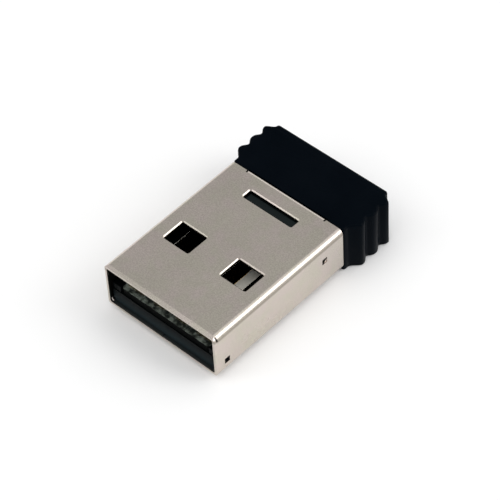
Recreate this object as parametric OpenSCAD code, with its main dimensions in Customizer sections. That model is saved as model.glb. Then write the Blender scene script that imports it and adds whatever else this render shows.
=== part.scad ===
/* [Plug shell] */
// Outside width of the folded plug shell
shell_w = 12; // [11.8:0.05:12.2]
// Outside height of the folded plug shell
shell_h = 4.5; // [4.4:0.05:4.6]
// Length of the shell from its mouth to the cut rear edge of its sides
shell_l = 14.82; // [14.4:0.05:15.2]
// Thickness of the sheet
sheet_t = 0.3; // [0.25:0.01:0.32]
// Outside radius of the long folds
fold_r = 0.5; // [0.4:0.05:0.6]
// Gap left along the seam under the shell
seam_gap = 0.06; // [0.04:0.01:0.1]
// How far the dovetails of the seam reach sideways
dovetail_reach = 0.75; // [0.6:0.05:0.9]
// Length of one dovetail at its tip
dovetail_l = 1.7; // [1.4:0.1:2]
// How far back the front edge is coined inwards
lead_l = 0.3; // [0.2:0.05:0.4]
// How far the front edge is coined inwards
lead_in = 0.1; // [0.06:0.01:0.12]
// Distance from the mouth to the small slit round each fold
slit_y = 0.18; // [0.14:0.01:0.22]
// Width of the slit
slit_w = 0.15; // [0.08:0.01:0.16]
// Length of the slit across the fold
slit_span = 0.45; // [0.4:0.05:0.6]
// How far round the fold the slit's middle lies, in degrees from the side wall
slit_angle = 34; // [25:1:50]

/* [Shell openings] */
// Distance from the mouth to the near edge of the latch windows
window_y = 5.16; // [5:0.02:5.3]
// Width of a latch window
window_w = 2.68; // [2.4:0.02:2.8]
// Length of a latch window
window_l = 2.23; // [2:0.02:2.4]
// Distance from the middle of the shell to the near side of a window
window_x = 1.72; // [1.6:0.02:1.9]
// Corner radius of the punched windows and of the slot
window_r = 0.12; // [0.11:0.01:0.2]
// Width of the edge that the punch rolled over round the windows and the slot
roll_over = 0.09; // [0.05:0.01:0.12]
// Distance from the shell's rear edge to the far edge of the long slot
slot_back = 1.4; // [1.3:0.02:1.6]
// Width of the long slot, across the shell
slot_w = 5.22; // [4.8:0.02:5.6]
// Length of the long slot, along the shell
slot_l = 0.94; // [0.8:0.02:1.1]
// Side of the square inspection hole in each side wall
side_hole = 0.56; // [0.4:0.02:0.7]
// Distance from the mouth to the middle of the square side hole
side_hole_y = 1.18; // [1:0.02:1.5]
// Height of the middle of the square side hole above the shell's underside
side_hole_z = 1.12; // [1:0.02:1.6]
// Side of the small lanced barb in each side wall
barb_side = 0.56; // [0.4:0.02:0.7]
// Depth of the barb's ramp where the sheet is lanced through
barb_depth = 0.14; // [0.1:0.01:0.2]
// Distance from the shell's rear edge to the middle of the barb
barb_back = 2.2; // [2:0.02:2.6]
// Height of the middle of the barb above the shell's underside
barb_z = 2.78; // [2.4:0.02:3]

/* [Rear tab] */
// Half width of the tab that is folded down behind the shell's top
tab_half_w = 4.1; // [3.6:0.05:4.4]
// How far the tab stands behind the cut rear edge
tab_out = 0.16; // [0.12:0.01:0.3]
// Depth of the folded tab below the top of the shell
tab_drop = 1.15; // [0.9:0.05:1.4]
// Inside radius of the tab's fold
tab_inner_r = 0.06; // [0.04:0.01:0.1]
// Width of the relief notch at each end of the tab
notch_w = 0.16; // [0.1:0.01:0.25]
// Depth of the relief notch into the sheet
notch_l = 0.14; // [0.1:0.01:0.2]

/* [Cap] */
// Free height over the tallest part inside the cap
headroom = 0.48; // [0.2:0.02:0.6]
// How far the cap's underside lies below the shell's underside
cap_drop = 0.45; // [0.3:0.01:0.5]
// Gap between the shell's rear edge and the cap's front face
cap_gap = 0.08; // [0.05:0.01:0.12]
// Length of the cap along the plug
cap_l = 5.55; // [5.4:0.05:5.8]
// Half width of the narrow neck at the front of the cap
neck_half_w = 5.95; // [5.85:0.01:6.1]
// Length of the neck in front of the first lobe
neck_l = 0.5; // [0.4:0.05:0.6]
// Half width of the cap over the crests of the lobes
lobe_half_w = 6.69; // [6.6:0.01:6.9]
// How deep the valleys lie between the lobes
valley_depth = 0.35; // [0.25:0.01:0.4]
// Distance between the crests of two lobes
lobe_pitch = 1.55; // [1.5:0.01:1.6]
// Number of lobes down each side
lobe_count = 3; // [3:1:3]
// Half width of the flat rear face, out to its rounded corners
rear_half_w = 5.95; // [5.8:0.01:6.1]
// Radius of the upright corners in plan
corner_r = 0.24; // [0.2:0.01:0.3]
// Radius of the soft edge round the top and the underside
edge_r = 0.18; // [0.1:0.01:0.2]
// Thickness of the cap's top
cap_roof_t = 0.62; // [0.5:0.02:0.7]
// Thickness of the cap's rear wall
cap_rear_t = 0.65; // [0.5:0.05:0.8]
// Half width of the hollow inside the cap
cap_hollow_half_w = 5.42; // [5.35:0.01:5.5]

/* [Carrier and cover] */
// Gap between the moulded parts and the inside of the shell
moulding_gap = 0.06; // [0.04:0.01:0.1]
// How far the carrier's front face lies behind the mouth
carrier_setback = 0.38; // [0.3:0.02:0.46]
// Thickness of the carrier's floor
carrier_floor_t = 0.3; // [0.25:0.01:0.35]
// Depth of the relief behind each lower window
relief_depth = 0.5; // [0.4:0.02:0.6]
// How far the relief reaches past the window all round
relief_margin = 0.2; // [0.1:0.02:0.3]
// Free length of the component bay in front of the radio chip and behind the board's last part
bay_margin = 0.45; // [0.3:0.05:0.6]
// Free width of the component bay beside the capacitors of the radio chip
bay_side = 0.35; // [0.2:0.05:0.5]
// Half width of the carrier's tail inside the cap
tail_half_w = 5.3; // [5.2:0.01:5.32]
// How far the snap bump stands out of the carrier's tail
snap_out = 0.24; // [0.15:0.01:0.28]
// Length of the snap bump along the plug
snap_l = 1.1; // [0.8:0.1:1.4]
// Distance from the cap's front face to the middle of the snap bump
snap_y = 2.35; // [2:0.05:2.6]
// Length of the cover block, measured from the shell's rear edge
cover_l = 3.12; // [3:0.02:3.2]
// Wall thickness of the cover block
cover_wall = 0.55; // [0.45:0.05:0.6]
// Width of the pads that press on the shell
pad_w = 0.9; // [0.6:0.1:1]
// Height of the free space left between the cover block's deck and the shell
deck_gap = 0.4; // [0.3:0.02:0.5]
// How far the latch rib stays short of the slot at each end
rib_end_gap = 0.14; // [0.1:0.01:0.2]
// Gap between the latch rib and the slot's front edge
rib_side_gap = 0.12; // [0.08:0.01:0.16]
// Gap between the latch rib's top and the inside of the shell
rib_top_gap = 0.05; // [0.03:0.01:0.08]

/* [Circuit board] */
// Clear height between the contacts and the inside of the shell's top
contact_clearance = 1.95; // [1.9:0.01:2]
// Thickness of the circuit board
board_t = 0.6; // [0.55:0.01:0.65]
// Half width of the circuit board
board_half_w = 4.75; // [4.7:0.01:4.8]
// Distance from the mouth to the board's front edge
board_y = 0.5; // [0.48:0.01:0.6]
// Gap between the board's rear edge and the inside of the cap
board_rear_gap = 0.15; // [0.1:0.01:0.25]
// Gap between the board's sides and the carrier
board_gap = 0.05; // [0.03:0.01:0.08]
// Thickness of the gold contacts
contact_t = 0.05; // [0.04:0.01:0.06]
// Distance from the mouth to the front ends of the contacts
contact_y = 1.05; // [0.9:0.01:1.2]
// Width of a power contact
power_contact_w = 1.9; // [1.2:0.02:1.9]
// Width of a data contact
data_contact_w = 1.34; // [1:0.02:1.4]
// Distance from the mouth to the rear ends of the power contacts
power_contact_end = 9.4; // [8:0.1:10]
// Distance from the mouth to the rear ends of the data contacts
data_contact_end = 9.4; // [7:0.1:10]
// Distance from the middle to a data contact's middle
data_contact_x = 1.18; // [1:0.01:1.2]
// Distance from the middle to a power contact's middle
power_contact_x = 3.72; // [3.4:0.01:3.75]
// Radius of the notch in each long edge of the board
board_notch_r = 0.4; // [0.3:0.05:0.5]
// Radius of the corners of the board
board_corner_r = 0.35; // [0.2:0.05:0.5]
// Radius of the corners of the contacts
contact_r = 0.2; // [0.1:0.01:0.3]

/* [Components] */
// Side of the square radio chip
radio_side = 5; // [4:0.1:5.2]
// Height of the radio chip
radio_h = 0.72; // [0.6:0.01:0.74]
// Pitch of the radio chip's pads
radio_pitch = 0.5; // [0.4:0.01:0.65]
// Distance from the shell's rear edge to the middle of the radio chip
radio_back = 3.2; // [3:0.05:3.4]
// Length of the crystal's can
crystal_l = 3.2; // [2.8:0.1:3.2]
// Width of the crystal's can
crystal_w = 2.5; // [2:0.1:2.5]
// Height of the crystal's can
crystal_h = 0.75; // [0.6:0.05:0.9]
// Length of the ceramic antenna
antenna_l = 3.2; // [3:0.1:3.4]
// Width of the ceramic antenna
antenna_w = 1.6; // [1.4:0.1:1.6]
// Height of the ceramic antenna
antenna_h = 1.1; // [0.9:0.05:1.2]
// Length of the small-outline bodies
outline_body_l = 2.9; // [2.8:0.05:3]
// Width of the small-outline bodies
outline_body_w = 1.3; // [1.2:0.05:1.4]
// Height of the small-outline bodies
outline_body_h = 1; // [0.9:0.05:1.1]
// Span over the leads of the small-outline bodies
outline_span = 2.3; // [2.2:0.05:2.4]
// Length of the larger chip parts
large_chip_l = 1.6; // [1.5:0.05:1.7]
// Width of the larger chip parts
large_chip_w = 0.8; // [0.75:0.05:0.85]
// Height of the larger chip parts
large_chip_h = 0.7; // [0.6:0.01:0.72]
// Length of the smaller chip parts
small_chip_l = 1; // [0.9:0.05:1.1]
// Width of the smaller chip parts
small_chip_w = 0.5; // [0.45:0.05:0.55]
// Height of the smaller chip capacitors
small_cap_h = 0.5; // [0.45:0.01:0.55]
// Height of the smaller chip resistors
small_res_h = 0.35; // [0.3:0.01:0.4]
// Length of the band filter
filter_l = 2; // [1.8:0.1:2]
// Width of the band filter
filter_w = 1.25; // [1.1:0.05:1.3]
// Height of the band filter
filter_h = 0.75; // [0.6:0.05:0.9]
// Least gap between neighbouring parts
part_gap = 0.1; // [0.06:0.01:0.12]
// Gap between the radio chip and its capacitors
decoupling_gap = 0.4; // [0.3:0.05:0.5]
// Distance of the crystal from the middle, on the left
crystal_x = 2.75; // [2.7:0.05:2.9]
// Distance of each crystal capacitor from the crystal's middle line
crystal_cap_x = 0.8; // [0.6:0.05:1]
// Distance of the memory chip from the middle
memory_x = 0.3; // [0.2:0.05:0.4]
// Distance of the band filter from the middle
filter_x = 3.1; // [3.05:0.05:3.3]
// Distance of the ceramic antenna from the middle
antenna_x = 2.75; // [2.6:0.05:2.9]
// Distance of the antenna from the board's rear edge
antenna_edge = 0.2; // [0.15:0.05:0.3]
// Distance of the ferrite bead and of the supply capacitor from the middle
supply_x = 3.4; // [3.2:0.05:3.5]
// Distance of the pull-up resistor from the middle
pull_up_x = 3; // [2.6:0.1:3.4]

/* [Hidden] */
$fn = 48;
cut = 1; // how far a cutting solid reaches past what it cuts

shell_half_w = shell_w / 2;
inner_half_w = shell_half_w - sheet_t;
inner_r = fold_r - sheet_t;
roof_z = shell_h - sheet_t;
slot_y = shell_l - slot_back - slot_l;
barb_y = shell_l - barb_back;
cover_y = shell_l - cover_l;
radio_y = shell_l - radio_back;
bay_y = radio_y - radio_side / 2 - bay_margin;
bay_half_w = radio_side / 2 + decoupling_gap + small_chip_l + bay_side;

cap_y = shell_l + cap_gap;
cap_end = cap_y + cap_l;
cap_z = -cap_drop;
hollow_z = sheet_t;
hollow_end = cap_end - cap_rear_t;
tab_recess_l = tab_out;

contact_top = roof_z - contact_clearance;
board_top = contact_top - contact_t;
board_z = board_top - board_t;
board_end = hollow_end - board_rear_gap;
hollow_top = board_top + antenna_h + headroom;
cap_top = hollow_top + cap_roof_t;
channel_half_w = board_half_w + board_gap;
carrier_half_w = inner_half_w - moulding_gap;
carrier_top = contact_top;
bay_z = sheet_t + carrier_floor_t;
bay_end = board_end - bay_margin;
corner_cut = inner_r + moulding_gap;
snap_mid = cap_y + snap_y;
snap_z = hollow_z + moulding_gap;
snap_h = board_z - hollow_z - 2 * moulding_gap;

cover_end = shell_l + tab_out - sheet_t - moulding_gap;
deck_z = roof_z - deck_gap;
pad_x = carrier_half_w - corner_cut - pad_w / 2;

// Places of the parts on the board, as X and distance from the mouth.
cover_inner_y = cover_y + cover_wall;
regulator_at = [0, cover_inner_y + outline_span / 2 + part_gap];
regulator_cap_at = [outline_body_l / 2 + 2 * part_gap + small_chip_w, regulator_at[1]];
supply_y = cover_inner_y + large_chip_l / 2 + part_gap;
rear_row_y = cap_y + part_gap;
crystal_at = [-crystal_x, rear_row_y + small_chip_l / 2 + crystal_l / 2];
crystal_cap_at = [for (side = [-1, 1]) [side * crystal_cap_x - crystal_x, rear_row_y - small_chip_l / 2]];
memory_at = [memory_x, rear_row_y + outline_span / 2];
filter_at = [filter_x, rear_row_y + filter_w / 2 + part_gap];
inductor_at = [filter_at[0] + small_chip_w, filter_at[1] + filter_w / 2 + small_chip_l / 2 + part_gap];
antenna_cap_at = [filter_at[0] - small_chip_w, inductor_at[1]];
antenna_at = [antenna_x, board_end - antenna_w / 2 - antenna_edge];
decoupling_at = [for (side = [-1, 1], row = [-1 : 1])
    [side * (radio_side / 2 + decoupling_gap + small_chip_l / 2), radio_y + row * radio_side / 3]];
resistor_y = radio_y + radio_side / 2 + small_chip_l;
pad_reach = 0.4;
dielectric = [0.68, 0.56, 0.42];
film = [0.15, 0.15, 0.17];

// Everything is drawn from the shell's mouth and underside, then set so that
// the middle of the underside of the whole adapter is the origin.
module in_frame() translate([0, -cap_end / 2, cap_drop]) children();

// Extrudes a shape drawn in X and Z from one place along the plug to another.
module along(from, to) translate([0, to, 0]) rotate([90, 0, 0]) linear_extrude(to - from) children();

// A block given by its two opposite corners.
module block(a, b) translate(a) cube(b - a);

// A rectangle about the origin whose corners are true arcs.
module round_rect(size, r) {
    square([size[0] - 2 * r, size[1]], center = true);
    square([size[0], size[1] - 2 * r], center = true);
    for (sx = [-1, 1], sy = [-1, 1])
        translate([sx * (size[0] / 2 - r), sy * (size[1] / 2 - r)]) circle(r);
}

// Plug shell

module shell_section() translate([0, shell_h / 2]) difference() {
    round_rect([shell_w, shell_h], fold_r);
    round_rect([shell_w - 2 * sheet_t, shell_h - 2 * sheet_t], inner_r);
}

// Sets what it is given at the middle of each of the two windows in a face.
module at_windows() for (side = [-1, 1])
    translate([side * (window_x + window_w / 2), window_y + window_l / 2, 0]) children();

// A punched opening that goes down through the sheet from its upper face, with
// the edge rolled over by the punch.
module punched(size) {
    thin = 0.001;
    $fn = 32;
    translate([0, 0, -sheet_t - cut]) linear_extrude(sheet_t + 2 * cut) round_rect(size, window_r);
    hull() {
        translate([0, 0, -roll_over]) linear_extrude(thin) round_rect(size, window_r);
        linear_extrude(thin) round_rect([size[0] + 2 * roll_over, size[1] + 2 * roll_over], window_r + roll_over);
    }
}

// Half of the underside, up to the seam with its two dovetails.
module seam_side() {
    root = dovetail_l * 0.6;
    polygon([
        [-shell_w, -cut], [0, -cut],
        for (mid = [shell_l * 0.24, shell_l * 0.7]) each [
            [0, mid - root / 2], [dovetail_reach, mid - dovetail_l / 2],
            [dovetail_reach, mid + dovetail_l / 2], [0, mid + root / 2]],
        [0, shell_l + cut], [-shell_w, shell_l + cut]]);
}

module seam_cut() translate([0, 0, -cut]) linear_extrude(sheet_t + cut) difference() {
    offset(delta = seam_gap / 2) seam_side();
    offset(delta = -seam_gap / 2) seam_side();
}

// The coined front edge: a shallow wedge taken off the outside of one wall.
module lead_wedge(half_span) rotate([90, 0, 90]) translate([0, 0, -half_span])
    linear_extrude(2 * half_span) polygon([[-cut, -cut], [lead_l, -cut], [lead_l, 0], [0, lead_in], [-cut, lead_in]]);

module lead_wedges() {
    lead_wedge(shell_half_w);
    translate([0, 0, shell_h]) mirror([0, 0, 1]) lead_wedge(shell_half_w);
    for (side = [-1, 1])
        translate([side * shell_half_w, 0, shell_h / 2]) rotate([0, -side * 90, 0]) lead_wedge(shell_h / 2);
}

// The slit at each fold, where the coined edges part: it runs round the fold.
module fold_slits() for (side = [-1, 1], face = [-1, 1])
    translate([side * (shell_half_w - fold_r), slit_y, shell_h / 2 + face * (shell_h / 2 - fold_r)])
        rotate([0, -atan2(face * sin(slit_angle), side * cos(slit_angle)), 0])
            translate([inner_r / 2, 0, -slit_span / 2])
                cube([fold_r + cut, slit_w, slit_span]);

// A square cut that goes right through in its upper front half, where the sheet
// is lanced, and runs out along a ramp towards its lower rear corner.
module barb_cut() {
    reach = barb_side / sqrt(2);
    lip = barb_depth / 3;
    difference() {
        cube([4 * sheet_t, barb_side, barb_side], center = true);
        rotate([135, 0, 0]) linear_extrude(2 * barb_side, center = true)
            polygon([[-lip, -reach - lip], [-barb_depth, 0], [-4 * sheet_t, 0], [-4 * sheet_t, -reach - lip]]);
    }
}

module side_marks() for (side = [-1, 1]) {
    translate([side * shell_half_w, side_hole_y, side_hole_z])
        cube([4 * sheet_t, side_hole, side_hole], center = true);
    translate([side * shell_half_w, barb_y, barb_z]) mirror([side < 0 ? 1 : 0, 0, 0]) barb_cut();
}

// The tab behind the shell's top, folded down to shut the back.
module rear_tab() {
    outer_r = tab_inner_r + sheet_t;
    bend_y = shell_l + tab_out - outer_r;
    bend_z = shell_h - outer_r;
    rotate([90, 0, 90]) translate([0, 0, -tab_half_w]) linear_extrude(2 * tab_half_w) {
        translate([shell_l - 2 * notch_l, roof_z]) square([bend_y - shell_l + 2 * notch_l, sheet_t]);
        translate([bend_y, bend_z]) intersection() {
            difference() {
                circle(outer_r);
                circle(tab_inner_r);
            }
            square(outer_r);
        }
        translate([bend_y + tab_inner_r, shell_h - tab_drop]) square([sheet_t, tab_drop - outer_r]);
    }
}

module tab_notches() for (side = [-1, 1])
    translate([side * (tab_half_w + notch_w / 2), shell_l - notch_l, roof_z + sheet_t / 2]) {
        cylinder(h = 2 * sheet_t, d = notch_w, center = true);
        translate([-notch_w / 2, 0, -sheet_t]) cube([notch_w, notch_l + cut, 2 * sheet_t]);
    }

module usb_shell() color("silver") in_frame() {
    difference() {
        union() {
            along(0, shell_l) shell_section();
            rear_tab();
        }
        translate([0, 0, shell_h]) at_windows() punched([window_w, window_l]);
        mirror([0, 0, 1]) at_windows() punched([window_w, window_l]);
        translate([0, slot_y + slot_l / 2, shell_h]) punched([slot_w, slot_l]);
        seam_cut();
        lead_wedges();
        fold_slits();
        side_marks();
        tab_notches();
    }
}

// Cap

first_crest = cap_end - 0.9 - (lobe_count - 1) * lobe_pitch;
last_crest = first_crest + (lobe_count - 1) * lobe_pitch;
flank_steps = 14;
valley_steps = 20;
arc_steps = 4;

// Smooth step from 0 to 1.
function ease(t) = (1 - cos(180 * t)) / 2;

// Shape of a valley between two crests: broad crests and a tighter valley.
function valley(t) = valley_depth * ((1 - cos(360 * t)) / 2 - 0.09 * (1 - cos(720 * t)));

function arc(c, r, from, to) = [for (i = [0 : arc_steps])
    let (a = from + (to - from) * i / arc_steps) c + r * [cos(a), sin(a)]];

right_side = concat(
    arc([neck_half_w - corner_r, cap_y + corner_r], corner_r, -90, 0),
    [for (i = [0 : flank_steps - 1]) let (t = i / flank_steps, from = cap_y + neck_l)
        [neck_half_w + (lobe_half_w - neck_half_w) * ease(t), from + (first_crest - from) * t]],
    [for (k = [0 : lobe_count - 2], i = [0 : valley_steps - 1]) let (t = i / valley_steps)
        [lobe_half_w - valley(t), first_crest + (k + t) * lobe_pitch]],
    [for (i = [0 : flank_steps - 1]) let (t = i / flank_steps)
        [lobe_half_w - (lobe_half_w - rear_half_w) * ease(t),
            last_crest + (cap_end - corner_r - last_crest) * t]],
    arc([rear_half_w - corner_r, cap_end - corner_r], corner_r, 0, 90));

side_n = len(right_side);
plan = concat(right_side, [for (i = [side_n - 1 : -1 : 0]) [-right_side[i][0], right_side[i][1]]]);

// Unit normal pointing into a closed outline that runs anticlockwise.
function inward(p, i) = let (n = len(p), d = p[(i + 1) % n] - p[(i + n - 1) % n]) [-d[1], d[0]] / norm(d);

function inset(p, by) = [for (i = [0 : len(p) - 1]) p[i] + by * inward(p, i)];

// A solid of one symmetrical plan whose upper and lower edges are rounded. It is
// lofted ring by ring, and its flat ends are strips that run from side to side.
module soft_edged(p, z0, z1, r, steps) {
    rings = concat(
        [for (i = [0 : steps]) let (a = 90 * i / steps) [r * (1 - sin(a)), z0 + r * (1 - cos(a))]],
        [for (i = [steps : -1 : 0]) let (a = 90 * i / steps) [r * (1 - sin(a)), z1 - r * (1 - cos(a))]]);
    n = len(p);
    m = len(rings);
    top = (m - 1) * n;
    polyhedron(
        points = [for (ring = rings) each [for (q = inset(p, ring[0])) [q[0], q[1], ring[1]]]],
        faces = concat(
            [for (i = [0 : n / 2 - 2]) each [[i, i + 1, n - 1 - i], [i + 1, n - 2 - i, n - 1 - i]]],
            [for (k = [0 : m - 2], i = [0 : n - 1]) let (a = k * n + i, b = k * n + (i + 1) % n)
                each [[a, a + n, b], [b, a + n, b + n]]],
            [for (i = [0 : n / 2 - 2]) each [[top + i, top + n - 1 - i, top + i + 1],
                [top + i + 1, top + n - 1 - i, top + n - 2 - i]]]));
}

module cap() color([0.06, 0.07, 0.08]) in_frame() difference() {
    soft_edged(plan, cap_z, cap_top, edge_r, 3);
    block([-cap_hollow_half_w, cap_y - cut, hollow_z], [cap_hollow_half_w, hollow_end, hollow_top]);
    // room for the folded tab
    block([-tab_half_w - notch_w, cap_y - cut, shell_h - tab_drop - cap_gap],
        [tab_half_w + notch_w, cap_y + tab_recess_l, cap_top + cut]);
    // pockets that the snap bumps drop into
    for (side = [-1, 1]) translate([side * cap_hollow_half_w, snap_mid, (hollow_z + board_z) / 2])
        cube([2 * (snap_out - moulding_gap), snap_l + 2 * moulding_gap, board_z - hollow_z], center = true);
}

// Board carrier

module carrier_section() polygon([
    [-carrier_half_w + corner_cut, sheet_t], [carrier_half_w - corner_cut, sheet_t],
    [carrier_half_w, sheet_t + corner_cut], [carrier_half_w, carrier_top],
    [-carrier_half_w, carrier_top], [-carrier_half_w, sheet_t + corner_cut]]);

module snap_bump(side) translate([side * tail_half_w, snap_mid, snap_z]) mirror([side < 0 ? 1 : 0, 0, 0])
    linear_extrude(snap_h) polygon([
        [-snap_out, snap_l / 2], [0, snap_l / 2], [snap_out, snap_l / 2 - 2 * snap_out],
        [snap_out, 0], [0, -snap_l / 2], [-snap_out, -snap_l / 2]]);

module board_carrier() color([0.08, 0.09, 0.1]) in_frame() difference() {
    union() {
        along(carrier_setback, shell_l) carrier_section();
        block([-tail_half_w, shell_l - cut, hollow_z], [tail_half_w, board_end, carrier_top]);
        for (side = [-1, 1]) snap_bump(side);
    }
    // channel for the board, open to the front so that its end shows
    block([-channel_half_w, board_y - board_gap, board_z], [channel_half_w, board_end + cut, carrier_top + cut]);
    block([-shell_half_w, carrier_setback - cut, board_z], [shell_half_w, board_y - board_gap, carrier_top + cut]);
    // bay for the components under the board
    block([-bay_half_w, bay_y, bay_z], [bay_half_w, bay_end, board_z + cut]);
    // reliefs behind the lower windows
    at_windows() translate([0, 0, sheet_t + (relief_depth - cut) / 2])
        cube([window_w + 2 * relief_margin, window_l + 2 * relief_margin, relief_depth + cut], center = true);
}

// Cover block

// The block is open to the front only under its front wall, by the gap over
// the board, and open to the rear, where the shell's tab comes down.
module cover_block() color([0.09, 0.1, 0.11]) in_frame() {
    difference() {
        block([-carrier_half_w, cover_y, carrier_top], [carrier_half_w, cover_end, deck_z]);
        block([-channel_half_w, cover_y + cover_wall, carrier_top - cut],
            [channel_half_w, cover_end + cut, deck_z - cover_wall]);
    }
    // latch rib that shows in the slot
    block([-slot_w / 2 + rib_end_gap, slot_y + rib_side_gap, deck_z - cover_wall],
        [slot_w / 2 - rib_end_gap, slot_y + slot_l - rib_side_gap, roof_z - rib_top_gap]);
    // pads that press on the inside of the shell's top
    for (side = [-1, 1]) translate([side * pad_x, (cover_y + cover_end) / 2, (deck_z + roof_z - cover_wall) / 2])
        cube([pad_w, cover_end - cover_y - 2 * cover_wall, deck_gap + cover_wall], center = true);
}

// Circuit board

module circuit_board() color([0.55, 0.62, 0.52]) in_frame() translate([0, 0, board_z])
    linear_extrude(board_t) difference() {
        translate([0, (board_y + board_end) / 2])
            round_rect([2 * board_half_w, board_end - board_y], board_corner_r);
        // locating notches that sit beside the carrier's tail
        for (side = [-1, 1]) translate([side * board_half_w, cap_y + cap_l / 2]) circle(board_notch_r);
    }

// Contacts

module contact(x, w, end) color("gold") in_frame()
    translate([x, (contact_y + end) / 2, board_top]) linear_extrude(contact_t)
        round_rect([w, end - contact_y], contact_r);

module power_contact() contact(power_contact_x, power_contact_w, power_contact_end);
module data_minus_contact() contact(data_contact_x, data_contact_w, data_contact_end);
module data_plus_contact() contact(-data_contact_x, data_contact_w, data_contact_end);
module ground_contact() contact(-power_contact_x, power_contact_w, power_contact_end);

// Parts on the board

// Sets a part on the board's upper face, or hangs it from its lower face.
module on_board(at, under = false, turn = 0) in_frame()
    translate([at[0], at[1], under ? board_z : board_top])
        mirror([0, 0, under ? 1 : 0]) rotate([0, 0, turn]) children();

// A two-ended chip part with its metal ends a little proud of the body.
module chip_part(l, w, h) {
    end_l = l * 0.22;
    proud = 0.03;
    translate([0, 0, h / 2]) cube([l - end_l, w - 2 * proud, h - 2 * proud], center = true);
    for (side = [-1, 1]) translate([side * (l - end_l) / 2, 0, h / 2]) cube([end_l, w, h], center = true);
}

module small_chip(h) chip_part(small_chip_l, small_chip_w, h);

module large_chip() chip_part(large_chip_l, large_chip_w, large_chip_h);

// A moulded body with bent leads on both sides.
module outline_part(left_leads, right_leads) {
    lead_pitch = 0.95;
    lead_w = 0.4;
    lead_t = 0.13;
    lead_z = outline_body_h * 0.45;
    body_z = 0.1;
    difference() {
        translate([0, 0, (outline_body_h + body_z) / 2])
            cube([outline_body_l, outline_body_w, outline_body_h - body_z], center = true);
        for (side = [-1, 1]) translate([0, side * outline_body_w / 2, outline_body_h])
            rotate([side * 20, 0, 0]) cube([outline_body_l + cut, lead_t, outline_body_h], center = true);
    }
    for (side = [-1, 1]) {
        count = side < 0 ? left_leads : right_leads;
        for (i = [0 : count - 1]) {
            step = count == 2 ? 2 * lead_pitch : lead_pitch;
            translate([(i - (count - 1) / 2) * step - lead_w / 2, 0, 0]) mirror([0, side < 0 ? 1 : 0, 0])
                rotate([90, 0, 90]) linear_extrude(lead_w) polygon([
                    [outline_body_w * 0.3, lead_z], [outline_body_w / 2 + lead_t, lead_z],
                    [outline_body_w / 2 + lead_t, 0], [outline_span / 2, 0], [outline_span / 2, lead_t],
                    [outline_body_w / 2 + 2 * lead_t, lead_t], [outline_body_w / 2 + 2 * lead_t, lead_z + lead_t],
                    [outline_body_w * 0.3, lead_z + lead_t]]);
        }
    }
}

// A square leadless body with a pad row along each side and a dot at pin one.
module radio_chip() color([0.1, 0.1, 0.11]) on_board([0, radio_y], under = true) {
    pad_t = 0.04;
    pads = floor((radio_side - 1) / radio_pitch);
    difference() {
        translate([0, 0, (radio_h + pad_t) / 2])
            cube([radio_side, radio_side, radio_h - pad_t], center = true);
        translate([-radio_side * 0.38, radio_side * 0.38, radio_h - pad_t])
            cylinder(h = cut, d = radio_side * 0.1, $fn = 24);
    }
    for (turn = [0 : 90 : 270], i = [0 : pads - 1]) rotate([0, 0, turn])
        translate([(i - (pads - 1) / 2) * radio_pitch, (radio_side - pad_reach) / 2, pad_t])
            cube([radio_pitch / 2, pad_reach, 2 * pad_t], center = true);
    translate([0, 0, pad_t]) cube([radio_side * 0.65, radio_side * 0.65, 2 * pad_t], center = true);
}

module memory_chip() color([0.12, 0.12, 0.13]) on_board(memory_at) outline_part(3, 2);

module voltage_regulator() color([0.12, 0.12, 0.13]) on_board(regulator_at) outline_part(3, 2);

module crystal() color("silver") on_board(crystal_at, turn = 90) {
    step = 0.15;
    linear_extrude(crystal_h / 2) round_rect([crystal_l, crystal_w], step);
    linear_extrude(crystal_h) round_rect([crystal_l - 2 * step, crystal_w - 2 * step], 2 * step);
}

module ceramic_antenna() color("white") on_board(antenna_at) {
    groove = 0.12;
    difference() {
        translate([0, 0, antenna_h / 2]) cube([antenna_l, antenna_w, antenna_h], center = true);
        for (i = [-1 : 1]) translate([i * antenna_l / 5, 0, antenna_h])
            rotate([0, 0, 25]) cube([groove, 2 * antenna_w, groove], center = true);
        for (side = [-1, 1]) translate([side * antenna_l * 0.38, 0, antenna_h])
            cube([groove / 2, 2 * antenna_w, groove / 2], center = true);
    }
}

module band_filter() color([0.75, 0.73, 0.66]) on_board(filter_at) {
    pad_out = 0.03;
    translate([0, 0, filter_h / 2]) cube([filter_l, filter_w, filter_h], center = true);
    for (sx = [-1, 0, 1], sy = [-1, 1]) translate([sx * filter_l * 0.38, sy * filter_w / 2, filter_h / 2])
        cube([filter_l / 6, 2 * pad_out, filter_h], center = true);
}

module antenna_inductor() color([0.45, 0.5, 0.42]) on_board(inductor_at, turn = 90) small_chip(small_cap_h);

module antenna_capacitor() color(dielectric) on_board(antenna_cap_at, turn = 90) small_chip(small_cap_h);

module ferrite_bead() color([0.25, 0.25, 0.27]) on_board([supply_x, supply_y], turn = 90) large_chip();

module supply_capacitor() color(dielectric) on_board([-supply_x, supply_y], turn = 90) large_chip();

module regulator_capacitor() color(dielectric) on_board(regulator_cap_at, turn = 90) small_chip(small_cap_h);

module decoupling_capacitor(at) color(dielectric) on_board(at, under = true) small_chip(small_cap_h);

module crystal_capacitor(at) color(dielectric) on_board(at, turn = 90) small_chip(small_cap_h);

module data_resistor(x) color(film) on_board([x, resistor_y], under = true, turn = 90) small_chip(small_res_h);

module pull_up_resistor() color(film) on_board([-pull_up_x, resistor_y], under = true, turn = 90)
    small_chip(small_res_h);

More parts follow.
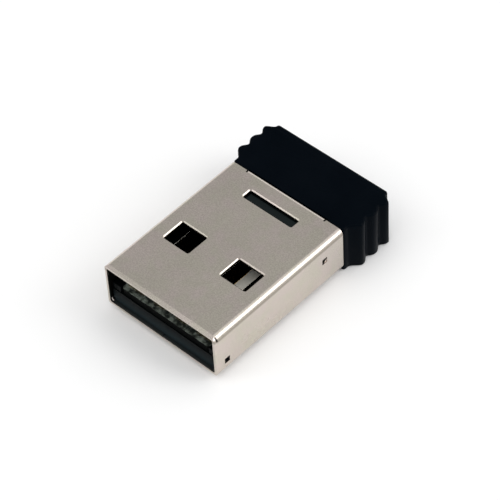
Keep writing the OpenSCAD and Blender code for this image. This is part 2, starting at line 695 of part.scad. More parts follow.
usb_shell();
cap();
board_carrier();
cover_block();
circuit_board();
power_contact();
data_minus_contact();
data_plus_contact();
ground_contact();
radio_chip();
memory_chip();
voltage_regulator();
crystal();
ceramic_antenna();
band_filter();
antenna_inductor();
antenna_capacitor();
ferrite_bead();
supply_capacitor();
regulator_capacitor();
for (i = [0 : len(decoupling_at) - 1])
    decoupling_capacitor(decoupling_at[i]);
for (i = [0 : 1])
    crystal_capacitor(crystal_cap_at[i]);
data_resistor(-data_contact_x);  // data_plus_resistor
data_resistor(data_contact_x);  // data_minus_resistor
pull_up_resistor();
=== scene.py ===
import math

import bpy
from mathutils import Matrix, Vector


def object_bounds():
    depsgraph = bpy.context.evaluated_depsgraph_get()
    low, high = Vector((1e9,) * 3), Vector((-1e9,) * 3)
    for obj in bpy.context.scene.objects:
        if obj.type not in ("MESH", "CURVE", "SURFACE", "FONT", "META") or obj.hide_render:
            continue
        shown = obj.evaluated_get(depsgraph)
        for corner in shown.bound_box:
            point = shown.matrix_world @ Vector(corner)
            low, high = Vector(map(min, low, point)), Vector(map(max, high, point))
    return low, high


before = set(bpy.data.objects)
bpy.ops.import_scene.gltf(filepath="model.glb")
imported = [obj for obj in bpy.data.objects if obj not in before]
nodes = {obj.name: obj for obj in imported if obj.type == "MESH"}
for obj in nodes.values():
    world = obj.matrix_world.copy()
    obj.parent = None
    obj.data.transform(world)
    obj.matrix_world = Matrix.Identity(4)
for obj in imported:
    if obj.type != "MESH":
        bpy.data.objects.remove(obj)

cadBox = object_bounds()
mm = 0.001


# shared helpers

def hexColour(text):
    # sRGB hex to the linear colour that Blender's shaders take
    def toLinear(c):
        return c / 12.92 if c <= 0.04045 else ((c + 0.055) / 1.055) ** 2.4
    parts = [int(text[i:i + 2], 16) / 255 for i in (1, 3, 5)]
    return tuple(toLinear(c) for c in parts) + (1.0,)


def addNode(tree, kind, inputs=None, **settings):
    # adds one node with its settings; an input takes a value, a socket, or a node for its first output in use
    node = tree.nodes.new(kind)
    for name, value in settings.items():
        setattr(node, name, value)
    for key, value in (inputs or {}).items():
        if isinstance(value, bpy.types.Node):
            value = next(socket for socket in value.outputs if socket.enabled)
        if isinstance(value, bpy.types.NodeSocket):
            tree.links.new(value, node.inputs[key])
        else:
            node.inputs[key].default_value = value
    return node


def newMaterial(name):
    mat = bpy.data.materials.new(name)
    mat.use_nodes = True
    mat.node_tree.nodes.clear()
    return mat, mat.node_tree


def perMillimetre(size):
    # pattern scale for object coordinates in metres, so that one feature spans that many millimetres
    return 1.0 / (size * mm)


def dress(name, mat):
    # gives a node of the frame its finish
    mesh = nodes[name].data
    mesh.materials.clear()
    mesh.materials.append(mat)


weld = 0.0005      # mm, the loose facets of a CAD mesh lie closer than this


def makeSmoothSkin(limit):
    # joins the loose facets of a CAD mesh and shades them as one skin, up to a limit angle
    tree = bpy.data.node_groups.new("smoothSkin", "GeometryNodeTree")
    tree.interface.new_socket("Geometry", in_out="INPUT", socket_type="NodeSocketGeometry")
    tree.interface.new_socket("Geometry", in_out="OUTPUT", socket_type="NodeSocketGeometry")
    start = addNode(tree, "NodeGroupInput")
    bare = addNode(tree, "GeometryNodeRemoveAttribute", {"Geometry": start, "Name": "custom_normal"})
    joined = addNode(tree, "GeometryNodeMergeByDistance", {"Geometry": bare, "Distance": weld * mm})
    bend = addNode(tree, "GeometryNodeInputMeshEdgeAngle").outputs["Unsigned Angle"]
    soft = addNode(tree, "FunctionNodeCompare", {"A": bend, "B": math.radians(limit)}, operation="LESS_THAN")
    skin = addNode(tree, "GeometryNodeSetShadeSmooth", {"Geometry": joined, "Shade Smooth": True},
                   domain="FACE")
    edges = addNode(tree, "GeometryNodeSetShadeSmooth", {"Geometry": skin, "Shade Smooth": soft},
                    domain="EDGE")
    addNode(tree, "NodeGroupOutput", {"Geometry": edges})
    return tree


def smoothSkin(name, limit):
    # the wide flat faces keep their own normals, so that only folds and rounded edges shade softly
    smoother = nodes[name].modifiers.new("smoothSkin", "NODES")
    smoother.node_group = makeSmoothSkin(limit)
    evener = nodes[name].modifiers.new("evenNormals", "WEIGHTED_NORMAL")
    evener.keep_sharp = True


# plated steel of the plug shell

steel = {
    "rose": "#D6CBC4",          # nickel plating, warm; its tint drifts between a trace of rose
    "olive": "#D1CBBE",         # and a trace of olive
    "dull": "#8F877B",          # dull crystals among the bright ones
    "dullest": 0.3,             # share of them where they lie closest
    "tornAndShaded": "#171614",          # the unplated break under the burnished rim of a punched edge, and painted shade over the inside and the barb's ramp
    "inside": "#3A4143",        # the floor of the plug: painted shade of the inside, lighter than the walls
    "foldShadeLine": "#9C9488",      # painted dark reflection: a darker line where the fold runs out into the side
    "roughness": 0.24,
    "tornRoughness": 0.6,
    "clouds": 5.0,              # mm, broad unevenness of the plating
    "drift": 1.4,               # mm, patches of one tint
    "grain": 0.22,              # mm, pebbled skin of tumbled and plated sheet
    "grainDepth": 0.012,        # mm
    "fleck": 0.12,              # mm, bright and dull crystals in the plating
    "rolling": 0.12,            # mm, spacing of the lines left by rolling the strip
    "rollingDepth": 0.01,       # mm
    "rollingLength": 25,        # times their spacing
    "halfWidth": 6.0,           # mm, section of the shell, for the depth under its skin
    "midHeight": 2.7,
    "halfHeight": 2.25,
    "fold": 0.5,
    "front": -10.1,             # mm, the plain rim before this and the tab behind the next keep their plating
    "back": 4.5,
    "rim": 0.07,                # mm, depth of the plated and burnished rim of a punched edge
    "breakAndShade": 0.17,              # mm, depth at which the metal is fully torn and the inside fully painted with shade
    "barbShadeDepth": 0.11,        # mm, the same on the lanced ramp of the barb, which is painted with shade from here
    "barbMiddle": 2.375,        # mm, along the shell
    "barbHalf": 0.45,
    "sideWall": 5.6,            # mm, the barb lies further out than this
    "lineDrop": 0.42,           # mm, from the top to the middle of the fold line
    "lineHalf": 0.28,
    "bend": (4.46, 4.575),      # mm, the strip that leans over before the rear tab's bend
    "bendHalf": 4.1,
    "bendSlope": 0.47,
    "facesUp": 0.9,             # least upward part of the normal on the floor of the plug
    "smoothUpTo": 12,           # degrees between facets that shade as one
}


def skinDepth(tree, centred):
    # depth in metres under the outside of the folded shell, whose section is a rounded rectangle
    fold = steel["fold"] * mm
    core = (steel["halfWidth"] * mm - fold, 1.0, steel["halfHeight"] * mm - fold)
    mirrored = addNode(tree, "ShaderNodeVectorMath", {0: centred}, operation="ABSOLUTE")
    past = addNode(tree, "ShaderNodeVectorMath", {0: mirrored, 1: core}, operation="SUBTRACT")
    beyond = addNode(tree, "ShaderNodeVectorMath", {0: past, 1: (0.0, 0.0, 0.0)}, operation="MAXIMUM")
    corner = addNode(tree, "ShaderNodeVectorMath", {0: beyond}, operation="LENGTH")
    sides = addNode(tree, "ShaderNodeSeparateXYZ", {0: past}).outputs
    nearest = addNode(tree, "ShaderNodeMath", {0: sides["X"], 1: sides["Z"]}, operation="MAXIMUM")
    inner = addNode(tree, "ShaderNodeMath", {0: nearest, 1: 0.0}, operation="MINIMUM")
    outward = addNode(tree, "ShaderNodeMath", {0: corner, 1: inner}, operation="ADD")
    return addNode(tree, "ShaderNodeMath", {0: fold, 1: outward}, operation="SUBTRACT")


def makePlatedSteel():
    # strip steel with satin nickel plating: soft reflections, a fine pebbled skin with tiny flecks, faint
    # rolling lines, dull torn metal in the punched edges, painted shade over the inside and down the barb's
    # ramp, and a painted dark reflection line along the upper folds
    mat, tree = newMaterial("nickelPlatedSteel")
    place = addNode(tree, "ShaderNodeTexCoord").outputs["Object"]
    middle = (0.0, 0.0, steel["midHeight"] * mm)
    centred = addNode(tree, "ShaderNodeVectorMath", {0: place, 1: middle}, operation="SUBTRACT")
    across, along, height = addNode(tree, "ShaderNodeSeparateXYZ", {0: centred}).outputs
    fromMiddle = addNode(tree, "ShaderNodeMath", {0: across}, operation="ABSOLUTE")

    clouds = addNode(tree, "ShaderNodeTexNoise", {
        "Vector": place, "Scale": perMillimetre(steel["clouds"]), "Detail": 3.0, "Roughness": 0.55})
    drift = addNode(tree, "ShaderNodeTexNoise", {
        "Vector": place, "Scale": perMillimetre(steel["drift"]), "Detail": 1.0})
    grain = addNode(tree, "ShaderNodeTexNoise", {
        "Vector": place, "Scale": perMillimetre(steel["grain"]), "Detail": 3.0, "Roughness": 0.6})
    fleck = addNode(tree, "ShaderNodeTexNoise", {
        "Vector": place, "Scale": perMillimetre(steel["fleck"]), "Detail": 1.0})
    drawnOut = addNode(tree, "ShaderNodeMapping", {
        "Vector": place, "Scale": (1.0, 1.0 / steel["rollingLength"], 1.0)})
    rolling = addNode(tree, "ShaderNodeTexNoise", {
        "Vector": drawnOut, "Scale": perMillimetre(steel["rolling"]), "Detail": 1.0})

    # punched edges are torn below their burnished rim, and the lanced barb sooner than the rest; the same
    # mask paints shade over the whole inside of the shell and down the barb's ramp
    depth = skinDepth(tree, centred)
    brokenAndShaded = addNode(tree, "ShaderNodeMapRange", {
        "Value": depth, "From Min": steel["rim"] * mm, "From Max": steel["breakAndShade"] * mm},
        interpolation_type="SMOOTHSTEP")
    earlyShade = addNode(tree, "ShaderNodeMapRange", {
        "Value": depth, "From Min": steel["rim"] * mm, "From Max": steel["barbShadeDepth"] * mm},
        interpolation_type="SMOOTHSTEP")
    inSide = addNode(tree, "ShaderNodeMath", {0: fromMiddle, 1: steel["sideWall"] * mm},
                     operation="GREATER_THAN")
    nearBarb = addNode(tree, "ShaderNodeMath", {
        0: along, 1: steel["barbMiddle"] * mm, 2: steel["barbHalf"] * mm}, operation="COMPARE")
    atBarb = addNode(tree, "ShaderNodeMath", {0: nearBarb, 1: inSide}, operation="MULTIPLY")
    lancedShade = addNode(tree, "ShaderNodeMath", {0: earlyShade, 1: atBarb}, operation="MULTIPLY")
    roughAndShaded = addNode(tree, "ShaderNodeMath", {0: brokenAndShaded, 1: lancedShade}, operation="MAXIMUM")
    between = addNode(tree, "ShaderNodeMath", {
        0: along, 1: (steel["front"] + steel["back"]) / 2 * mm, 2: (steel["back"] - steel["front"]) / 2 * mm},
        operation="COMPARE")
    tornAndShaded = addNode(tree, "ShaderNodeMath", {0: roughAndShaded, 1: between}, operation="MULTIPLY")

    # the floor of the plug is what faces up in the lower half
    normal = addNode(tree, "ShaderNodeNewGeometry").outputs["Normal"]
    facing = addNode(tree, "ShaderNodeSeparateXYZ", {0: normal}).outputs["Z"]
    faceUp = addNode(tree, "ShaderNodeMath", {0: facing, 1: steel["facesUp"]}, operation="GREATER_THAN")
    low = addNode(tree, "ShaderNodeMath", {0: height, 1: 0.0}, operation="LESS_THAN")
    inFloor = addNode(tree, "ShaderNodeMath", {0: faceUp, 1: low}, operation="MULTIPLY")

    # painted dark reflection: the fold line is a soft band, patchy with the grain
    lineHeight = (steel["halfHeight"] - steel["lineDrop"]) * mm
    above = addNode(tree, "ShaderNodeMath", {0: height, 1: lineHeight}, operation="SUBTRACT")
    off = addNode(tree, "ShaderNodeMath", {0: above}, operation="ABSOLUTE")
    band = addNode(tree, "ShaderNodeMapRange", {
        "Value": off, "From Max": steel["lineHalf"] * mm, "To Min": 1.0, "To Max": 0.0},
        interpolation_type="SMOOTHSTEP")
    patchy = addNode(tree, "ShaderNodeMapRange", {
        "Value": grain, "From Min": 0.35, "From Max": 0.5, "To Min": 0.85})
    paintedDarkening = addNode(tree, "ShaderNodeMath", {0: band, 1: patchy}, operation="MULTIPLY")

    patches = addNode(tree, "ShaderNodeMapRange", {"Value": drift, "From Min": 0.35, "From Max": 0.65})
    plating = addNode(tree, "ShaderNodeMix", {
        0: patches, 6: hexColour(steel["rose"]), 7: hexColour(steel["olive"])}, data_type="RGBA")
    crystals = addNode(tree, "ShaderNodeMapRange", {
        "Value": fleck, "From Min": 0.25, "From Max": 0.75, "To Min": steel["dullest"], "To Max": 0.0})
    flecked = addNode(tree, "ShaderNodeMix", {0: crystals, 6: plating, 7: hexColour(steel["dull"])},
                      data_type="RGBA")
    foldShaded = addNode(tree, "ShaderNodeMix", {0: paintedDarkening, 6: flecked, 7: hexColour(steel["foldShadeLine"])},
                    data_type="RGBA")
    # painted shade: the inside walls and the barb's ramp take the torn colour, the plug's floor a lighter one
    unplatedAndShaded = addNode(tree, "ShaderNodeMix", {
        0: inFloor, 6: hexColour(steel["tornAndShaded"]), 7: hexColour(steel["inside"])}, data_type="RGBA")
    colour = addNode(tree, "ShaderNodeMix", {0: tornAndShaded, 6: foldShaded, 7: unplatedAndShaded}, data_type="RGBA")

    plain = addNode(tree, "ShaderNodeMapRange", {
        "Value": clouds, "From Min": 0.3, "From Max": 0.7,
        "To Min": steel["roughness"] - 0.02, "To Max": steel["roughness"] + 0.04})
    matt = addNode(tree, "ShaderNodeMath", {0: tornAndShaded, 1: steel["tornRoughness"]}, operation="MULTIPLY")
    roughness = addNode(tree, "ShaderNodeMath", {0: plain, 1: matt}, operation="MAXIMUM")

    # the flat top of the mesh hides the start of the rear tab's bend, so a leaning strip draws its bright line
    start, end = steel["bend"]
    lean = addNode(tree, "ShaderNodeMapRange", {
        "Value": along, "From Min": start * mm, "From Max": end * mm,
        "To Max": (start - end) * steel["bendSlope"] * mm})
    overTab = addNode(tree, "ShaderNodeMath", {0: fromMiddle, 1: steel["bendHalf"] * mm},
                      operation="LESS_THAN")
    drop = addNode(tree, "ShaderNodeMath", {0: lean, 1: overTab}, operation="MULTIPLY")
    leaning = addNode(tree, "ShaderNodeBump", {"Height": drop, "Strength": 1.0, "Distance": 1.0})
    lines = addNode(tree, "ShaderNodeBump", {
        "Height": rolling, "Normal": leaning, "Strength": 0.06, "Distance": steel["rollingDepth"] * mm})
    skin = addNode(tree, "ShaderNodeBump", {
        "Height": grain, "Normal": lines, "Strength": 0.4, "Distance": steel["grainDepth"] * mm})

    shader = addNode(tree, "ShaderNodeBsdfPrincipled", {
        "Base Color": colour, "Roughness": roughness, "Metallic": 1.0, "Normal": skin})
    addNode(tree, "ShaderNodeOutputMaterial", {"Surface": shader})
    return mat


dress("usb_shell", makePlatedSteel())
smoothSkin("usb_shell", steel["smoothUpTo"])
print("plug shell dressed")


# moulded plastic of the cap, the carrier and the cover block

mouldings = {
    "cap": {
        "name": "blackAbs", "colour": "#00040A", "worn": "#02070E", "roughness": 0.3, "specular": 0.025,
        "spark": 0.12,          # mm, grit of the spark-eroded tool
        "smoothUpTo": 40},      # degrees between facets that shade as one
    "board_carrier": {
        "name": "blackLcp", "colour": "#1D2528", "worn": "#242D30", "roughness": 0.5, "specular": 0.04,
        "spark": 0.1,
        "shadeAbove": "#06090A", "from": 0.9, "to": 1.95},      # mm, heights between which the painted shade darkens it
    "cover_block": {
        "name": "slateLcp", "colour": "#101617", "worn": "#182021", "roughness": 0.55, "specular": 0.08,
        "spark": 0.1},
}
moulded = {
    "flow": 3.0,                # mm, streaks of the melt
    "sparkDepth": 0.005,        # mm
    "ior": 1.54,
}


def makeMoulded(look):
    # ABS for the cap and filled LCP for the two inner parts, moulded in a spark-eroded tool: a fine satin
    # grain that keeps the black deep, with faint grey lights only where an edge turns away
    mat, tree = newMaterial(look["name"])
    place = addNode(tree, "ShaderNodeTexCoord").outputs["Object"]
    spark = addNode(tree, "ShaderNodeTexNoise", {
        "Vector": place, "Scale": perMillimetre(look["spark"]), "Detail": 3.0, "Roughness": 0.6})
    flow = addNode(tree, "ShaderNodeTexNoise", {
        "Vector": place, "Scale": perMillimetre(moulded["flow"]), "Detail": 2.0})
    halfFlow = addNode(tree, "ShaderNodeMath", {0: flow, 1: 0.5}, operation="MULTIPLY")
    shade = addNode(tree, "ShaderNodeMath", {0: spark, 1: 0.5, 2: halfFlow}, operation="MULTIPLY_ADD")
    wear = addNode(tree, "ShaderNodeMapRange", {"Value": shade, "From Min": 0.35, "From Max": 0.65})
    colour = addNode(tree, "ShaderNodeMix", {
        0: wear, 6: hexColour(look["colour"]), 7: hexColour(look["worn"])}, data_type="RGBA")
    if "shadeAbove" in look:
        # painted shade: darkens with height, where the shell's top shades its upper front
        height = addNode(tree, "ShaderNodeSeparateXYZ", {0: place}).outputs["Z"]
        heightShade = addNode(tree, "ShaderNodeMapRange", {
            "Value": height, "From Min": look["from"] * mm, "From Max": look["to"] * mm})
        colour = addNode(tree, "ShaderNodeMix", {0: heightShade, 6: colour, 7: hexColour(look["shadeAbove"])},
                         data_type="RGBA")
    roughness = addNode(tree, "ShaderNodeMapRange", {
        "Value": flow, "From Min": 0.3, "From Max": 0.7,
        "To Min": look["roughness"] - 0.04, "To Max": look["roughness"] + 0.04})
    skin = addNode(tree, "ShaderNodeBump", {
        "Height": spark, "Strength": 0.35, "Distance": moulded["sparkDepth"] * mm})
    shader = addNode(tree, "ShaderNodeBsdfPrincipled", {
        "Base Color": colour, "Roughness": roughness, "Normal": skin, "IOR": moulded["ior"],
        "Specular IOR Level": look["specular"]})
    addNode(tree, "ShaderNodeOutputMaterial", {"Surface": shader})
    return mat


for nodeName, look in mouldings.items():
    dress(nodeName, makeMoulded(look))
smoothSkin("cap", mouldings["cap"]["smoothUpTo"])
print("mouldings dressed")


# the circuit board and what it carries

laminate = {
    "light": "#FBF9F0",         # clear resin over the glass threads
    "dark": "#ECE8DC",          # and between them
    "edge": "#030404",          # cut edges of the board, near-black: painted shade
    "edgeFleck": "#080A09",
    "rim": "#262B27",           # front strip, dark with light specks: painted shade where the shell's top shades the board
    "rimFleck": "#90998F",
    "weave": 2.83,              # mm, between bands; much wider than real threads, which lie about 0.45 apart
    "speck": 0.5,               # mm, dirt
    "relief": 0.02,             # mm
    "roughness": 0.35,
    "specular": 0.3,
    "edgeRoughness": 0.8,
    "edgeSpecular": 0.03,
    "rimShadeEnd": (-8.525, -7.925),     # mm, the painted shade of the front strip fades out between these
}


def makeLaminate():
    # glass-fibre board without solder mask: pale, with broad faint bands for the glass cloth under clear
    # resin, near-black cut edges of painted shade and a speckled strip of painted shade at its front
    mat, tree = newMaterial("glassFibreBoard")
    place = addNode(tree, "ShaderNodeTexCoord").outputs["Object"]
    waveScale = perMillimetre(laminate["weave"]) * math.tau / 20      # the wave runs 20 radians to a unit
    warp, weft = (addNode(tree, "ShaderNodeTexWave", {
        "Vector": place, "Scale": waveScale, "Distortion": 0.4}, bands_direction=way).outputs["Fac"]
        for way in "XY")
    cloth = addNode(tree, "ShaderNodeMath", {0: warp, 1: weft}, operation="MULTIPLY")
    dirt = addNode(tree, "ShaderNodeTexNoise", {
        "Vector": place, "Scale": perMillimetre(laminate["speck"]), "Detail": 4.0, "Roughness": 0.7})

    along = addNode(tree, "ShaderNodeSeparateXYZ", {0: place}).outputs["Y"]
    # painted shade: the board's front strip under the shell's top is darker, with light specks
    rim = addNode(tree, "ShaderNodeMapRange", {
        "Value": along, "From Min": laminate["rimShadeEnd"][0] * mm, "From Max": laminate["rimShadeEnd"][1] * mm,
        "To Min": 1.0, "To Max": 0.0})
    specks = addNode(tree, "ShaderNodeMapRange", {"Value": dirt, "From Min": 0.43, "From Max": 0.64})
    paintedDarkening = addNode(tree, "ShaderNodeMix", {
        0: specks, 6: hexColour(laminate["rim"]), 7: hexColour(laminate["rimFleck"])}, data_type="RGBA")
    resin = addNode(tree, "ShaderNodeMix", {
        0: cloth, 6: hexColour(laminate["dark"]), 7: hexColour(laminate["light"])}, data_type="RGBA")
    colour = addNode(tree, "ShaderNodeMix", {0: rim, 6: resin, 7: paintedDarkening}, data_type="RGBA")
    dirtHeight = addNode(tree, "ShaderNodeMath", {0: dirt, 1: rim}, operation="MULTIPLY")
    height = addNode(tree, "ShaderNodeMath", {0: cloth, 1: 0.4, 2: dirtHeight}, operation="MULTIPLY_ADD")
    relief = addNode(tree, "ShaderNodeBump", {
        "Height": height, "Strength": 0.3, "Distance": laminate["relief"] * mm})
    face = addNode(tree, "ShaderNodeBsdfPrincipled", {
        "Base Color": colour, "Normal": relief, "Roughness": laminate["roughness"],
        "Specular IOR Level": laminate["specular"]})

    # painted shade: every face of the board that doesn't face up or down is near-black
    edgeColour = addNode(tree, "ShaderNodeMix", {
        0: dirt, 6: hexColour(laminate["edge"]), 7: hexColour(laminate["edgeFleck"])}, data_type="RGBA")
    shadedCut = addNode(tree, "ShaderNodeBsdfPrincipled", {
        "Base Color": edgeColour, "Roughness": laminate["edgeRoughness"],
        "Specular IOR Level": laminate["edgeSpecular"]})
    normal = addNode(tree, "ShaderNodeNewGeometry").outputs["Normal"]
    facing = addNode(tree, "ShaderNodeSeparateXYZ", {0: normal}).outputs["Z"]
    tilt = addNode(tree, "ShaderNodeMath", {0: facing}, operation="ABSOLUTE")
    flat = addNode(tree, "ShaderNodeMapRange", {"Value": tilt, "From Min": 0.5, "From Max": 0.9})
    both = addNode(tree, "ShaderNodeMixShader", {"Fac": flat, 1: shadedCut, 2: face})
    addNode(tree, "ShaderNodeOutputMaterial", {"Surface": both})
    return mat


dress("circuit_board", makeLaminate())

contact = {
    "bright": "#E8C98A",
    "dull": "#D5B36E",
    "roughness": 0.08,
    "scuff": 0.15,              # mm, width of the marks that plugging leaves
    "scuffLength": 20,          # times their width
    "nodes": ("power_contact", "data_minus_contact", "data_plus_contact", "ground_contact"),
}


def makeContactGold():
    # polished gold over nickel: a true mirror that shows the dark inside of the shell
    mat, tree = newMaterial("platedGold")
    place = addNode(tree, "ShaderNodeTexCoord").outputs["Object"]
    drawnOut = addNode(tree, "ShaderNodeMapping", {
        "Vector": place, "Scale": (1.0, 1.0 / contact["scuffLength"], 1.0)})
    scuff = addNode(tree, "ShaderNodeTexNoise", {
        "Vector": drawnOut, "Scale": perMillimetre(contact["scuff"]), "Detail": 2.0})
    colour = addNode(tree, "ShaderNodeMix", {
        0: scuff, 6: hexColour(contact["dull"]), 7: hexColour(contact["bright"])}, data_type="RGBA")
    roughness = addNode(tree, "ShaderNodeMapRange", {
        "Value": scuff, "From Min": 0.35, "From Max": 0.7,
        "To Min": contact["roughness"] - 0.03, "To Max": contact["roughness"] + 0.06})
    shader = addNode(tree, "ShaderNodeBsdfPrincipled", {
        "Base Color": colour, "Roughness": roughness, "Metallic": 1.0})
    addNode(tree, "ShaderNodeOutputMaterial", {"Surface": shader})
    return mat


contactGold = makeContactGold()
for nodeName in contact["nodes"]:
    dress(nodeName, contactGold)

chips = {                       # size is the speckle's, in mm
    "mouldingCompound": {       # epoxy with silica: a matt black with grey grit
        "colour": "#1B1B1D", "speck": "#2A2A2D", "size": 0.1, "roughness": 0.6, "metallic": 0.0,
        "nodes": ("radio_chip", "memory_chip", "voltage_regulator")},
    "nickelLid": {              # drawn and plated sheet: a soft metal sheen
        "colour": "#CFCBC2", "speck": "#BDB8AE", "size": 0.2, "roughness": 0.28, "metallic": 1.0,
        "nodes": ("crystal",)},
    "firedAlumina": {           # sintered white ceramic: chalky
        "colour": "#E6E4DC", "speck": "#D8D5CB", "size": 0.08, "roughness": 0.65, "metallic": 0.0,
        "nodes": ("ceramic_antenna",)},
    "filterCeramic": {          # layered and fired: a dull sandy grey
        "colour": "#B5AD9B", "speck": "#A39B88", "size": 0.08, "roughness": 0.6, "metallic": 0.0,
        "nodes": ("band_filter", "antenna_inductor")},
    "ferriteCeramic": {         # pressed and sintered: a dense dark grey
        "colour": "#3A3A3D", "speck": "#2C2C2F", "size": 0.06, "roughness": 0.6, "metallic": 0.0,
        "nodes": ("ferrite_bead",)},
    "resistorFilm": {           # glaze over a printed film: blue-black with a faint shine
        "colour": "#1A1B20", "speck": "#25262C", "size": 0.08, "roughness": 0.4, "metallic": 0.0,
        "nodes": ("data_plus_resistor", "data_minus_resistor", "pull_up_resistor")},
    "titanateCeramic": {        # layered and fired: tan
        "colour": "#A8845C", "speck": "#967250", "size": 0.06, "roughness": 0.5, "metallic": 0.0,
        "nodes": tuple(name for name in sorted(nodes) if "capacitor" in name)},
}
speckDepth = 0.004              # mm


def makeChip(name, look):
    # a small part's body: one fired, moulded or plated substance with its own fine speckle
    mat, tree = newMaterial(name)
    place = addNode(tree, "ShaderNodeTexCoord").outputs["Object"]
    speck = addNode(tree, "ShaderNodeTexNoise", {
        "Vector": place, "Scale": perMillimetre(look["size"]), "Detail": 2.0})
    colour = addNode(tree, "ShaderNodeMix", {
        0: speck, 6: hexColour(look["colour"]), 7: hexColour(look["speck"])}, data_type="RGBA")
    relief = addNode(tree, "ShaderNodeBump", {"Height": speck, "Strength": 0.2, "Distance": speckDepth * mm})
    shader = addNode(tree, "ShaderNodeBsdfPrincipled", {
        "Base Color": colour, "Normal": relief, "Roughness": look["roughness"], "Metallic": look["metallic"]})
    addNode(tree, "ShaderNodeOutputMaterial", {"Surface": shader})
    return mat


for chipName, look in chips.items():
    chipMaterial = makeChip(chipName, look)
    for nodeName in look["nodes"]:
        dress(nodeName, chipMaterial)
print("board dressed")


# studio: white floor, a tent that is white near its foot and grey above, and three soft boxes

studio = {
    "floorSize": 2.0,
    "floorGap": 0.02,           # mm, below the object
    "floor": "#FAF8F3",
    "floorSeen": "#FFFFFF",     # to the camera and in reflections
    "floorRoughness": 0.9,
    # height of the direction, brightness
    "bands": ((0.0, 1.0), (0.06, 1.3), (0.16, 1.3), (0.42, 0.52), (0.8, 0.49), (0.88, 0.62), (0.97, 0.55)),
    "peak": 1.3,
    "glow": (0.45, 0.47, 0.76),     # middle of the wide soft light on the right, which shades the folds off
    "glowLevel": 1.9,
    "glowFrom": 0.6,                # cosines of the angles over which it rises
    "flag": (0.88, 0.47, 0.04),     # direction of a dark card that gives the folds their lower edge
    "flagLevel": 0.25,
    "flagFrom": 0.9,
    "full": 0.98,                   # cosine at which the light and the card are at their strongest
}

lamps = {                       # metres and watts
    "rearBox": {"at": (0.4, 0.258, 0.29), "wide": 0.28, "tall": 0.48, "power": 0.9},
    "frontBox": {"at": (-0.262, -0.33, 0.352), "wide": 0.22, "tall": 0.22, "power": 0.22},
    "topBox": {"at": (-0.025, -0.17, 0.54), "wide": 0.44, "tall": 0.44, "power": 0.62},
}


def makeFloor():
    # pale paper that keeps the object's shadow
    mat, tree = newMaterial("paperFloor")
    rays = addNode(tree, "ShaderNodeLightPath").outputs
    mirrored = addNode(tree, "ShaderNodeMath", {
        0: rays["Is Glossy Ray"], 1: rays["Is Transmission Ray"]}, operation="MAXIMUM")
    seen = addNode(tree, "ShaderNodeMath", {0: rays["Is Camera Ray"], 1: mirrored}, operation="MAXIMUM")
    colour = addNode(tree, "ShaderNodeMix", {
        0: seen, 6: hexColour(studio["floor"]), 7: hexColour(studio["floorSeen"])}, data_type="RGBA")
    shader = addNode(tree, "ShaderNodeBsdfPrincipled", {
        "Base Color": colour, "Roughness": studio["floorRoughness"]})
    addNode(tree, "ShaderNodeOutputMaterial", {"Surface": shader})

    half = studio["floorSize"] / 2
    corners = [(-half, -half, 0), (half, -half, 0), (half, half, 0), (-half, half, 0)]
    mesh = bpy.data.meshes.new("floor")
    mesh.from_pydata(corners, [], [(0, 1, 2, 3)])
    mesh.materials.append(mat)
    floor = bpy.data.objects.new("floor", mesh)
    floor.location.z = cadBox[0][2] - studio["floorGap"] * mm
    bpy.context.scene.collection.objects.link(floor)


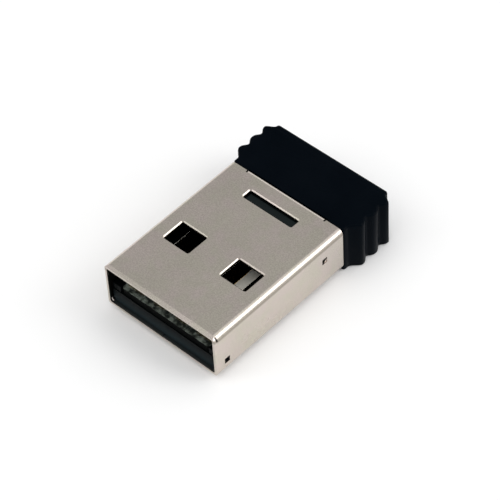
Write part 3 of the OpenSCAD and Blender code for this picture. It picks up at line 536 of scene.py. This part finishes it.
def makeTent():
    # the brightness follows the height of the direction, raised by the soft light and cut by the card
    world = bpy.data.worlds.new("tent")
    world.use_nodes = True
    tree = world.node_tree
    tree.nodes.clear()
    direction = addNode(tree, "ShaderNodeTexCoord").outputs["Generated"]
    up = addNode(tree, "ShaderNodeSeparateXYZ", {0: direction}).outputs["Z"]
    ramp = addNode(tree, "ShaderNodeValToRGB", {"Fac": up})
    stops = ramp.color_ramp.elements
    while len(stops) > 1:
        stops.remove(stops[-1])
    stops[0].position = studio["bands"][0][0]
    stops[0].color = (studio["bands"][0][1] / studio["peak"],) * 3 + (1.0,)
    for height, level in studio["bands"][1:]:
        stops.new(height).color = (level / studio["peak"],) * 3 + (1.0,)

    card = addNode(tree, "ShaderNodeVectorMath", {0: direction, 1: Vector(studio["flag"]).normalized()},
                   operation="DOT_PRODUCT")
    shade = addNode(tree, "ShaderNodeMapRange", {
        "Value": card, "From Min": studio["flagFrom"], "From Max": studio["full"],
        "To Min": studio["peak"], "To Max": studio["peak"] * studio["flagLevel"]},
        interpolation_type="SMOOTHSTEP")
    light = addNode(tree, "ShaderNodeVectorMath", {0: direction, 1: Vector(studio["glow"]).normalized()},
                    operation="DOT_PRODUCT")
    glow = addNode(tree, "ShaderNodeMapRange", {
        "Value": light, "From Min": studio["glowFrom"], "From Max": studio["full"],
        "To Min": 1.0, "To Max": studio["glowLevel"]})
    strength = addNode(tree, "ShaderNodeMath", {0: shade, 1: glow}, operation="MULTIPLY")
    tent = addNode(tree, "ShaderNodeBackground", {"Color": ramp, "Strength": strength})
    addNode(tree, "ShaderNodeOutputWorld", {"Surface": tent})
    bpy.context.scene.world = world


def addLamps(target):
    for name, look in lamps.items():
        light = bpy.data.lights.new(name, "AREA")
        light.shape = "RECTANGLE"
        light.size = look["wide"]
        light.size_y = look["tall"]
        light.energy = look["power"]
        lamp = bpy.data.objects.new(name, light)
        lamp.location = look["at"]
        lamp.rotation_euler = (target - Vector(look["at"])).to_track_quat("-Z", "Y").to_euler()
        bpy.context.scene.collection.objects.link(lamp)


# camera: placed by fitting it to the shell's edges in the photograph

camera = {
    "azimuth": 45.4203,         # degrees from straight in front of the mouth, towards the right
    "elevation": 48.0416,
    "roll": -3.8057,
    "focal": 2491.42,           # pixels, for an image 500 pixels wide
    "imageWidth": 500,
    "at": (95.085, -93.595, 150.638),   # mm
    "near": 0.01,               # metres
    "far": 5.0,
}


def addCamera():
    az, el, roll = (math.radians(camera[key]) for key in ("azimuth", "elevation", "roll"))
    forward = Vector((-math.sin(az) * math.cos(el), math.cos(az) * math.cos(el), -math.sin(el)))
    level = Vector((math.cos(az), math.sin(az), 0.0))
    upright = level.cross(forward)
    right = math.cos(roll) * level + math.sin(roll) * upright
    up = -math.sin(roll) * level + math.cos(roll) * upright
    data = bpy.data.cameras.new("camera")
    data.lens = camera["focal"] / camera["imageWidth"] * data.sensor_width
    data.clip_start = camera["near"]
    data.clip_end = camera["far"]
    view = bpy.data.objects.new("camera", data)
    turn = Matrix((right, up, -forward)).transposed().to_4x4()
    view.matrix_world = Matrix.Translation(Vector(camera["at"]) * mm) @ turn
    bpy.context.scene.collection.objects.link(view)
    bpy.context.scene.camera = view


makeFloor()
makeTent()
addLamps((Vector(cadBox[0]) + Vector(cadBox[1])) / 2)
addCamera()
bpy.context.scene.view_settings.view_transform = "Standard"
print("studio and camera set")
